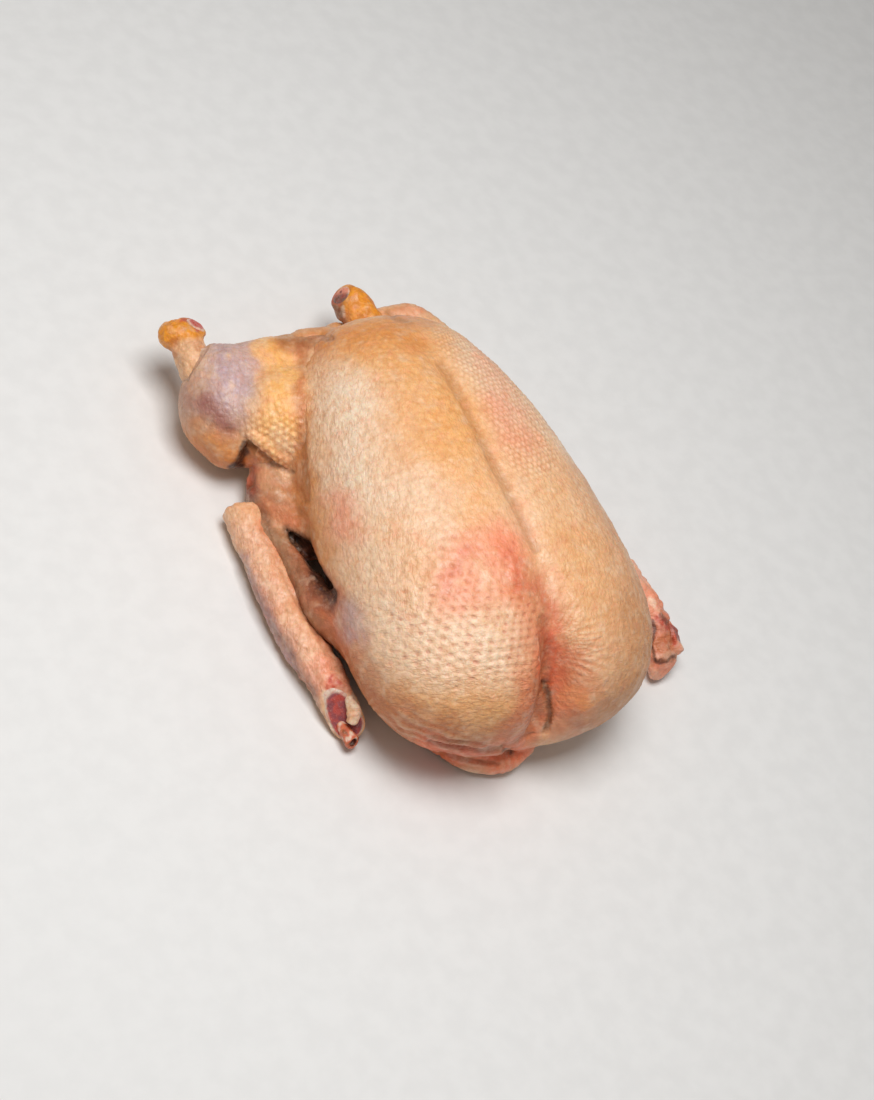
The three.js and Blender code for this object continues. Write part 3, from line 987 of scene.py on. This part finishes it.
def linear(red, green, blue):
    """A screen colour, 0 to 255, as the shader's own numbers."""
    share = [c / 255 for c in (red, green, blue)]
    return np.array([c / 12.92 if c <= 0.04045 else ((c + 0.055) / 1.055) ** 2.4 for c in share], np.float32)


TINTS = {name: linear(*colour) for name, colour in COLOURS.items()}


def lay_on(tint, entries, q, weight, edge):
    """Mixes patches of colour into the tint."""
    for colour, strength, half_width, points in entries:
        share = strength * weight * patch(q, points, half_width, edge)
        tint = tint + share[:, None] * (TINTS[colour] - tint)
    return tint


def zone(start, entries, q, weight):
    """A value that starts the same everywhere and changes over patches."""
    total = np.full(len(q), start, np.float32)
    for value, half_width, points in entries:
        total += weight * patch(q, points, half_width) * (value - total)
    return total


def fan(q, p):
    """Wrinkles that spread from the front of the keel towards the right side."""
    x, y = (q - np.array(FAN_MIDDLE)).T
    angle = np.arctan2(-y, x)
    middle, width = FAN_REACH
    wave = np.cos(FAN_RAYS * angle + 5 * noise(p, 16) + 2 * noise(p, 5)) * smooth_step(-0.6, 0.3, noise(p, 9))
    inside = smooth_step(-0.9, -0.4, angle) * smooth_step(1.7, 1.2, angle)
    return FAN_HEIGHT * wave * bell(np.hypot(x, y) - middle, width) * inside


def neck_wrinkles(q, p):
    spacing, reach, height = NECK_WRINKLE
    away = stroke(q, NECK_EDGE)
    wave = np.cos(FULL_TURN * away / spacing + 3 * noise(p, 14))
    return height * wave * smooth_step(reach, reach / 3, away) * smooth_step(-0.5, 0.3, noise(p, 18))


# Uneven skin: the height and the size of its lumps, in millimetres.
UNEVENNESS = {"lumps": ((0.6, 45), (0.3, 14)), "rough": ((0.35, 7), (0.25, 3.5))}


def dress(name, points, normals, place, style, lines=(), under=None):
    """Gives skin its relief and colour. The style is a dictionary of the piece's own settings."""
    warped = points + 4 * noise3(points, 14) + 1.6 * noise3(points, 5)
    facing = smooth_step(-0.35, 0.05, normals @ BACK)
    q = in_picture(points)
    q_warped = in_picture(warped)
    amount = zone(style["relief"], PICTURE_RELIEF, q, facing) * style.get("pores", 1.0)
    dots = zone(style["dots"], PICTURE_DOTS, q_warped, facing) * style.get("pores", 1.0)
    dots *= smooth_step(-0.9, 0.1, noise(points, 8))
    height = amount * pillows(place) * (1 + 1.2 * noise(points, 9))
    for kind, sizes in UNEVENNESS.items():
        height += style[kind] * sum(rise * noise(points, size) for rise, size in sizes)
    folds = facing * style["wrinkles"] * (fan(q, points) + neck_wrinkles(q, points))
    height += folds
    crease = np.zeros(len(points), np.float32)
    wavy = in_picture(points + 0.8 * noise3(points, 6))
    for rise, half_width, line in lines:
        share = facing * patch(wavy, line, half_width)
        height += rise * share
        crease = np.maximum(crease, share * min(1, max(0, -rise) / 2))
    height *= smooth_step(0.2, 5, points[:, 2]) * style.get("calm", 1.0)
    moved = points + height[:, None] * normals
    moved[:, 2] = np.maximum(moved[:, 2], points[:, 2].min())

    tint = under
    if under is None:
        tint = np.tile(TINTS[style["colour"]], (len(points), 1))
        tint = towards(tint, "cream", 0.35 * smooth_step(-0.3, 0.6, noise(points, 40)))
    tint = lay_on(tint, BODY_PAINT, warped, 1.0, 0.95)
    broken = 1 + 0.5 * noise(points, 9) + 0.4 * noise(points, 4)
    patches, marks = PAINT[name]
    tint = lay_on(tint, patches, q_warped, np.clip(facing * broken, 0, 1), 0.95)
    tint = lay_on(tint, marks, q_warped, facing, 0.5)
    # Painted shade in the sunken lines.
    tint = tint + 0.45 * crease[:, None] * (TINTS["brown"] - tint)
    # Painted light on the wrinkles' crests and painted shade in their troughs.
    tint = towards(tint, "cream", 0.7 * folds)
    tint = towards(tint, "rust", -0.7 * folds)
    values = {
        "tint": tint,
        "pore_place": np.column_stack([place, np.zeros(len(place))]),
        "relief": amount,
        "dots": dots,
        "pebble": np.full(len(points), style["pebble"], np.float32),
        "across": zone(0.1, CREASES_ACROSS, q_warped, facing),
        "down": zone(0.1, CREASES_DOWN, q_warped, facing),
    }
    return moved, values


def towards(tint, colour, share):
    return tint + np.clip(share, 0, 1)[:, None] * (TINTS[colour] - tint)


# ---- materials


class Shader:
    """Short calls for making and joining shader nodes."""

    def __init__(self, name):
        self.material = bpy.data.materials.new(name)
        self.material.use_nodes = True
        self.tree = self.material.node_tree
        self.tree.nodes.clear()

    def node(self, kind, inputs=None, **settings):
        node = self.tree.nodes.new(kind)
        for key, value in settings.items():
            setattr(node, key, value)
        for key, value in (inputs or {}).items():
            socket = node.inputs[key]
            if isinstance(value, bpy.types.NodeSocket):
                self.tree.links.new(value, socket)
            else:
                socket.default_value = value
        return node

    def value(self, name):
        return self.node("ShaderNodeAttribute", attribute_name=name).outputs["Fac"]

    def vector(self, name):
        return self.node("ShaderNodeAttribute", attribute_name=name).outputs["Vector"]

    def math(self, operation, a, b=0.0, c=0.0):
        return self.node("ShaderNodeMath", {0: a, 1: b, 2: c}, operation=operation).outputs[0]

    def times(self, a, b):
        return self.math("MULTIPLY", a, b)

    def scaled(self, vector, factors):
        return self.vector_math("MULTIPLY", vector, factors)

    def vector_math(self, operation, a, b=(0, 0, 0)):
        node = self.node("ShaderNodeVectorMath", {0: a, 1: b}, operation=operation)
        return node.outputs["Value" if operation == "DOT_PRODUCT" else "Vector"]

    def span(self, value, from_min, from_max, to_min=0.0, to_max=1.0):
        node = self.node(
            "ShaderNodeMapRange",
            {0: value, 1: from_min, 2: from_max, 3: to_min, 4: to_max},
            interpolation_type="SMOOTHSTEP",
        )
        return node.outputs[0]

    def noise(self, where, scale, detail=2.0, roughness=0.5):
        node = self.node(
            "ShaderNodeTexNoise",
            {"Vector": where, "Scale": scale, "Detail": detail, "Roughness": roughness},
        )
        return node.outputs["Fac"]

    def cells(self, where, scale):
        """How far places are from the nearest of many scattered points, as a share of their spacing."""
        node = self.node("ShaderNodeTexVoronoi", {"Vector": where, "Scale": scale, "Randomness": 0.8})
        return node.outputs["Distance"]

    def wobble(self, where):
        """A small shift that makes round cells uneven."""
        node = self.node("ShaderNodeTexNoise", {"Vector": where, "Scale": 0.3, "Detail": 1.0})
        centred = self.vector_math("SUBTRACT", node.outputs["Color"], (0.5, 0.5, 0.5))
        return self.scaled(centred, (4, 4, 4))

    def crease(self, where, quick, slow):
        """How far a level is from the middle one, which makes long thin lines where it is 0."""
        steps = (0.29 * quick, 0.1 * slow, 0.1 * BACK)
        parts = {k: self.vector_math("DOT_PRODUCT", where, step.tolist()) for k, step in enumerate(steps)}
        level = self.noise(self.node("ShaderNodeCombineXYZ", parts).outputs[0], 1.0, 2.0, 0.55)
        return self.math("ABSOLUTE", self.math("SUBTRACT", level, 0.5))

    def mix(self, share, a, b):
        a, b = ((*colour, 1.0) if isinstance(colour, np.ndarray) else colour for colour in (a, b))
        return self.node("ShaderNodeMix", {0: share, 6: a, 7: b}, data_type="RGBA").outputs[2]

    def where(self):
        """Places on the object in millimetres."""
        return self.scaled(self.node("ShaderNodeTexCoord").outputs["Object"], (1000, 1000, 1000))

    def pillows(self, place):
        """1 at each follicle and -0.5 between them, as in the mesh."""
        total = 0.0
        for wave in LATTICE_WAVES:
            angle = self.vector_math("DOT_PRODUCT", place, (*wave, 0))
            total = self.math("ADD", self.math("COSINE", angle), total)
        return self.math("DIVIDE", total, 3.0)

    def bump(self, height, strength=1.0):
        """Relief from a height in millimetres."""
        node = self.node("ShaderNodeBump", {"Strength": strength, "Distance": MM, "Height": height})
        return node.outputs[0]

    def finish(self, bump, colour, roughness, **constants):
        surface = self.node("ShaderNodeBsdfPrincipled")
        self.tree.links.new(colour, surface.inputs["Base Color"])
        self.tree.links.new(roughness, surface.inputs["Roughness"])
        self.tree.links.new(bump, surface.inputs["Normal"])
        for key, value in constants.items():
            surface.inputs[key.replace("_", " ")].default_value = value
        output = self.node("ShaderNodeOutputMaterial")
        self.tree.links.new(surface.outputs[0], output.inputs[0])
        return self.material


# What the skin's colour is multiplied by, where it is lighter and where it is darker.
# These are painted light on the follicles' tops, the cells' middles and beside the creases, and painted shade
# between the follicles, at the cells' edges and in the creases.
FOLLICLE_SHADES = ((1.15, 1.25, 1.35), (0.82, 0.68, 0.55))
PEBBLE_SHADES = ((1.10, 1.16, 1.22), (0.80, 0.66, 0.52))
CREASE_SHADES = ((1.06, 1.09, 1.12), (0.88, 0.74, 0.62))


def skin_material(name, fine_bump):
    s = Shader(name)
    where = s.where()
    patchy = s.noise(where, 0.1, 4.0, 0.6)
    fine = s.noise(where, 0.55, 3.0, 0.6)
    place = s.vector("pore_place")
    streaks = s.noise(s.scaled(where, (0.43, 0.16, 0.43)), 1.0, 2.0)
    waves = s.pillows(place)
    relief = s.value("relief")
    dots = s.times(s.value("dots"), s.span(patchy, 0.3, 0.65, 0.3, 1.0))
    pit = s.times(s.span(waves, 0.25, 0.95), dots)
    top = s.times(s.span(waves, 0.0, 0.9), s.span(relief, 0.1, 0.6, 0.0, 0.8))
    valley = s.times(s.span(waves, 0.0, -0.5), s.span(relief, 0.1, 0.6, 0.0, 0.6))

    colour = s.vector("tint")
    for level, full_at, share, tint in (
        (patchy, 0.75, 0.3, "blush"),
        (patchy, 0.25, 0.3, "cream"),
        (streaks, 0.75, 0.22, "tan"),
        (fine, 0.8, 0.2, "tan"),
    ):
        colour = s.mix(s.span(level, 0.5, full_at, 0.0, share), colour, TINTS[tint])
    # Painted highlight on the follicles' tops and painted shade between them.
    colour = s.mix(top, colour, s.scaled(colour, FOLLICLE_SHADES[0]))
    colour = s.mix(valley, colour, s.scaled(colour, FOLLICLE_SHADES[1]))
    colour = s.mix(s.times(pit, 0.5), colour, TINTS["pit"])

    pebble = s.value("pebble")
    cells = s.cells(s.vector_math("ADD", where, s.wobble(where)), 0.21)
    # Painted light in the cells' middles and painted shade at their edges.
    lighter, darker = (s.scaled(colour, shade) for shade in PEBBLE_SHADES)
    colour = s.mix(s.times(s.span(cells, 0.5, 0.1), pebble), colour, lighter)
    colour = s.mix(s.times(s.span(cells, 0.4, 0.9), pebble), colour, darker)

    height = s.times(pit, -0.3)
    for attribute, quick, slow in (("across", UP, RIGHT), ("down", RIGHT, UP)):
        strength = s.times(s.value(attribute), s.span(patchy, 0.3, 0.6, 0.4, 1.0))
        away = s.crease(where, quick, slow)
        # Painted light beside each crease and painted shade in it.
        lighter, darker = (s.scaled(colour, shade) for shade in CREASE_SHADES)
        colour = s.mix(s.times(s.span(away, 0.06, 0.16), strength), colour, lighter)
        colour = s.mix(s.times(s.span(away, 0.045, 0.0), strength), colour, darker)
        height = s.math("MULTIPLY_ADD", s.times(s.span(away, 0.0, 0.12), strength), 0.4, height)
    height = s.math("MULTIPLY_ADD", s.times(cells, pebble), -1.3, height)
    height = s.math("MULTIPLY_ADD", streaks, 0.5, height)
    height = s.math("MULTIPLY_ADD", fine, fine_bump, height)
    return s.finish(
        s.bump(height),
        colour,
        s.span(patchy, 0.3, 0.7, 0.4, 0.56),
        Subsurface_Weight=0.25,
        Subsurface_Radius=(0.006, 0.003, 0.0015),
        Subsurface_Scale=0.5,
        Coat_Weight=0.2,
        Coat_Roughness=0.35,
    )


def flesh_material():
    s = Shader("cut_flesh_finish")
    where = s.where()
    patchy = s.noise(where, 0.35, 3.0, 0.6)
    fibres = s.noise(s.scaled(where, (1, 0.4, 1)), 1.1, 3.0, 0.6)
    colour = s.mix(s.span(patchy, 0.4, 0.7, 0.0, 0.5), s.vector("tint"), TINTS["red"])
    colour = s.mix(s.span(fibres, 0.55, 0.75, 0.0, 0.2), colour, TINTS["bone"])
    return s.finish(
        s.bump(fibres, 0.8),
        colour,
        s.span(patchy, 0.3, 0.7, 0.25, 0.42),
        Subsurface_Weight=0.3,
        Subsurface_Radius=(0.004, 0.0015, 0.001),
        Subsurface_Scale=0.5,
        Coat_Weight=0.3,
        Coat_Roughness=0.2,
    )


# ---- pieces

# How near to the armpit's gap and to the left forearm the skin darkens with painted shade, in millimetres.
ARMPIT_SHADE = (5.5, 0.3)
FOREARM_SHADE = (8, 2)


def goose_skin(material):
    points, faces, normals = net_of(skin_distance, *BOXES["goose_skin"], SKIN_STEP)
    place = ruffled(trunk_place(points), points, 1.0)
    own = trunk_distance(points)
    for name in ("right_drumstick", "left_upper_wing", "right_upper_wing", "tail", "neck_skin"):
        distance, along, around = LIMBS[name].measure(points).T
        mine = distance < own
        own = np.minimum(own, distance)
        place = np.where(mine[:, None], np.stack([along, around], axis=1) / LEG_SPACING, place)
    style = {"relief": -0.28, "dots": 0.15, "colour": "base", "lumps": 1.0, "rough": 1.0, "wrinkles": 1.0,
             "pebble": 0.4, "pores": smooth_step(*BARE_KEEL, np.abs(points[:, 0]))}
    gap = np.minimum(ARMPIT.distance(points), ARMPIT_BELOW.distance(points))
    forearm = LIMBS["left_forearm"].distance(points)
    dark = smooth_step(*ARMPIT_SHADE, gap) + 0.6 * smooth_step(*FOREARM_SHADE, forearm)
    points, values = dress("goose_skin", points, normals, place, style, SKIN_LINES)
    values["tint"] = towards(values["tint"], "deep", 0.9 * dark)
    piece = build("goose_skin", points, faces, values, material)
    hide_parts("goose")


def left_leg(material):
    points, faces, normals = net_of(leg_distance, *BOXES["left_leg"], LIMB_STEP)
    place = ruffled(dome_place(points, *LEG_DOME) / LEG_SPACING, points, 1.6)
    style = {"relief": 0.16, "dots": 0.05, "colour": "base", "lumps": 0.6, "rough": 0.9, "wrinkles": 0.0,
             "pebble": 0.45}
    points, values = dress("left_leg", points, normals, place, style, LEG_LINES)
    build("left_leg", points, faces, values, material)


def limb_box(limb):
    return limb.low + Limb.REACH - BOX_SPARE, limb.high - Limb.REACH + BOX_SPARE


def calm_at(points, cut):
    """0 on a flat cut, so that nothing stands up there, and 1 away from it."""
    return smooth_step(0.0, 4.0, np.abs(past_cut(points, cut)))


def limb_net(distance, box, limb):
    """A limb's mesh, what is measured along it, and its follicles' places."""
    points, faces, normals = net_of(distance, *box, LIMB_STEP)
    measured = limb.measure(points)
    return points, faces, normals, measured, ruffled(measured[:, 1:] / WING_SPACING, points, 0.6)


def wing(name, distance, cut, material, lines, rough, colour):
    limb = LIMBS[name]
    points, faces, normals, _, place = limb_net(distance, BOXES.get(name) or limb_box(limb), limb)
    style = {"relief": 0.12, "dots": 0.25, "colour": colour, "lumps": 0.6, "rough": rough, "wrinkles": 0.0,
             "pebble": 0.5, "calm": calm_at(points, cut)}
    points, values = dress(name, points, normals, place, style, lines)
    build(name, points, faces, values, material)


def hock(name, distance, limb, cut, material, orange_from):
    """A shank with the bare orange skin of the hock from this far along it."""
    points, faces, normals, measured, place = limb_net(distance, BOXES[name], limb)
    style = {"relief": 0.2, "dots": 0.0, "lumps": 1.2, "rough": 2.8, "wrinkles": 0.0, "pebble": 0.6,
             "calm": calm_at(points, cut)}
    orange = smooth_step(orange_from - 4, orange_from + 3, measured[:, 1] + 3 * noise(points, 5))
    under = towards(np.tile(TINTS["base"], (len(points), 1)), "orange", orange)
    under = towards(under, "ochre", 0.45 * smooth_step(0.05, 0.5, noise(points, 6)))
    points, values = dress(name, points, normals, place, style, (), under)
    build(name, points, faces, values, material)


def flesh(name, limb, cut, inset, material, colour, marrow, painted_shade_below=0.0):
    """Cut flesh with a pale rim, a bone's end and its dark marrow, of these radii from the cut's point.

    Below that point in the picture it turns darker by the last share: painted shade.
    """
    middle = np.array(cut[0], np.float32)
    distance = flesh_distance(limb, cut, inset, FLESH_DEPTH)
    points, faces, _ = net_of(distance, middle - FLESH_REACH, middle + FLESH_REACH, FLESH_STEP)
    away = np.linalg.norm(points - middle, axis=1) + noise(points, 3)
    tint = np.tile(TINTS[colour], (len(points), 1))
    tint = towards(tint, "red", 0.6 * smooth_step(0.0, 0.5, noise(points, 4)))
    tint = towards(tint, "bone", 0.8 * smooth_step(-2.8, -1.8, limb.distance(points)))
    bone, hole = marrow
    tint = towards(tint, "bone", smooth_step(bone + 0.8, bone - 0.3, away))
    tint = towards(tint, "deep", smooth_step(hole + 0.6, hole - 0.4, away))
    # Painted shade on the part of the cut below its middle.
    tint = towards(tint, "deep", painted_shade_below * smooth_step(-0.5, 3.5, (middle - points) @ UP))
    build(name, points, faces, {"tint": tint}, material)


def wing_bone(material):
    limb = LIMBS["wing_bone"]
    points, faces, _ = net_of(bone_distance, *limb_box(limb), FLESH_STEP)
    tint = np.tile(TINTS["rust"], (len(points), 1))
    tint = towards(tint, "bone", 0.8 * smooth_step(0.1, 0.5, noise(points, 3)))
    tint = towards(tint, "brown", 0.8 * smooth_step(-0.1, -0.5, noise(points, 3)))
    tint = towards(tint, "deep", 0.8 * smooth_step(-1.2, -1.9, limb.distance(points)))
    build("left_wing_bone", points, faces, {"tint": tint}, material)


# ---- camera, light and floor

# The light's distance and the floor's half width and drop are in metres.
LIGHT_DISTANCE = 1.6
KEY_DIRECTION = BACK + 0.28 * RIGHT + 0.60 * UP
KEY_SIZE = 0.8
KEY_POWER = 21
SKY_COLOUR = (1.0, 0.98, 0.96, 1)
SKY_STRENGTH = 0.22
FLOOR_HALF = 6.0
FLOOR_DROP = -0.0003


def add_camera():
    data = bpy.data.cameras.new("camera")
    data.sensor_width = SENSOR
    data.lens = SENSOR * PIXELS_PER_MM * VIEW_DISTANCE / PICTURE[1]
    camera = bpy.data.objects.new("camera", data)
    turn = Matrix([Vector(axis) for axis in (RIGHT, UP, BACK)]).transposed().to_4x4()
    camera.matrix_world = Matrix.Translation(Vector(VIEW_POINT) * MM) @ turn
    bpy.context.scene.collection.objects.link(camera)
    bpy.context.scene.camera = camera


def add_light(name, direction, size, power):
    """A square soft light in this direction, turned to the goose."""
    data = bpy.data.lights.new(name, "AREA")
    data.size = size
    data.energy = power
    light = bpy.data.objects.new(name, data)
    light.location = Vector(direction).normalized() * LIGHT_DISTANCE
    light.rotation_euler = Vector(direction).to_track_quat("Z", "Y").to_euler()
    bpy.context.scene.collection.objects.link(light)


def add_floor():
    mesh = bpy.data.meshes.new("floor")
    signs = ((-1, -1), (1, -1), (1, 1), (-1, 1))
    corners = [(x * FLOOR_HALF, y * FLOOR_HALF, FLOOR_DROP) for x, y in signs]
    mesh.from_pydata(corners, [], [(0, 1, 2, 3)])
    s = Shader("floor_finish")
    speck = s.noise(s.where(), 0.06, 3.0)
    colour = s.mix(s.span(speck, 0.3, 0.7), TINTS["floor"], TINTS["floor_speck"])
    mesh.materials.append(s.finish(s.bump(speck, 0.05), colour, s.span(speck, 0.3, 0.7, 0.6, 0.7)))
    floor = bpy.data.objects.new("floor", mesh)
    bpy.context.scene.collection.objects.link(floor)


def add_world():
    world = bpy.data.worlds.new("studio")
    world.use_nodes = True
    background = world.node_tree.nodes["Background"]
    background.inputs["Color"].default_value = SKY_COLOUR
    background.inputs["Strength"].default_value = SKY_STRENGTH
    bpy.context.scene.world = world


add_camera()
add_light("key", KEY_DIRECTION, KEY_SIZE, KEY_POWER)
add_floor()
add_world()
bpy.context.scene.view_settings.view_transform = "Standard"

skin = skin_material("goose_skin_finish", 0.3)
hock_skin = skin_material("hock_skin_finish", 0.7)
cut_flesh = flesh_material()
goose_skin(skin)
left_leg(skin)
wing("left_forearm", left_forearm_distance, LEFT_WING_CUT, skin, FOREARM_LINES, 3.0, "base")
wing("right_forearm", right_forearm_distance, RIGHT_WING_CUT, skin, FAR_WING_LINES, 4.0, "blush")
hock("left_hock", left_shank_distance, LIMBS["left_shank"], LEFT_HOCK_CUT, hock_skin, 33)
hock("right_hock", right_shank_distance, LIMBS["right_shank"], RIGHT_HOCK_CUT, hock_skin, 12)
flesh("left_wing_flesh", LIMBS["left_forearm"], LEFT_WING_CUT, 1.5, cut_flesh, "purple", (0, 0))
flesh("left_hock_flesh", LIMBS["left_knob"], LEFT_HOCK_CUT, 1.6, cut_flesh, "red", (3.0, 1.2))
flesh("right_hock_flesh", LIMBS["right_shank"], RIGHT_HOCK_CUT, 2.0, cut_flesh, "blush", (0, 1.2), 0.8)
flesh("right_wing_flesh", LIMBS["right_forearm"], RIGHT_WING_CUT, 2.0, cut_flesh, "purple", (4.0, 1.8))
wing_bone(cut_flesh)

bpy.context.view_layer.update()
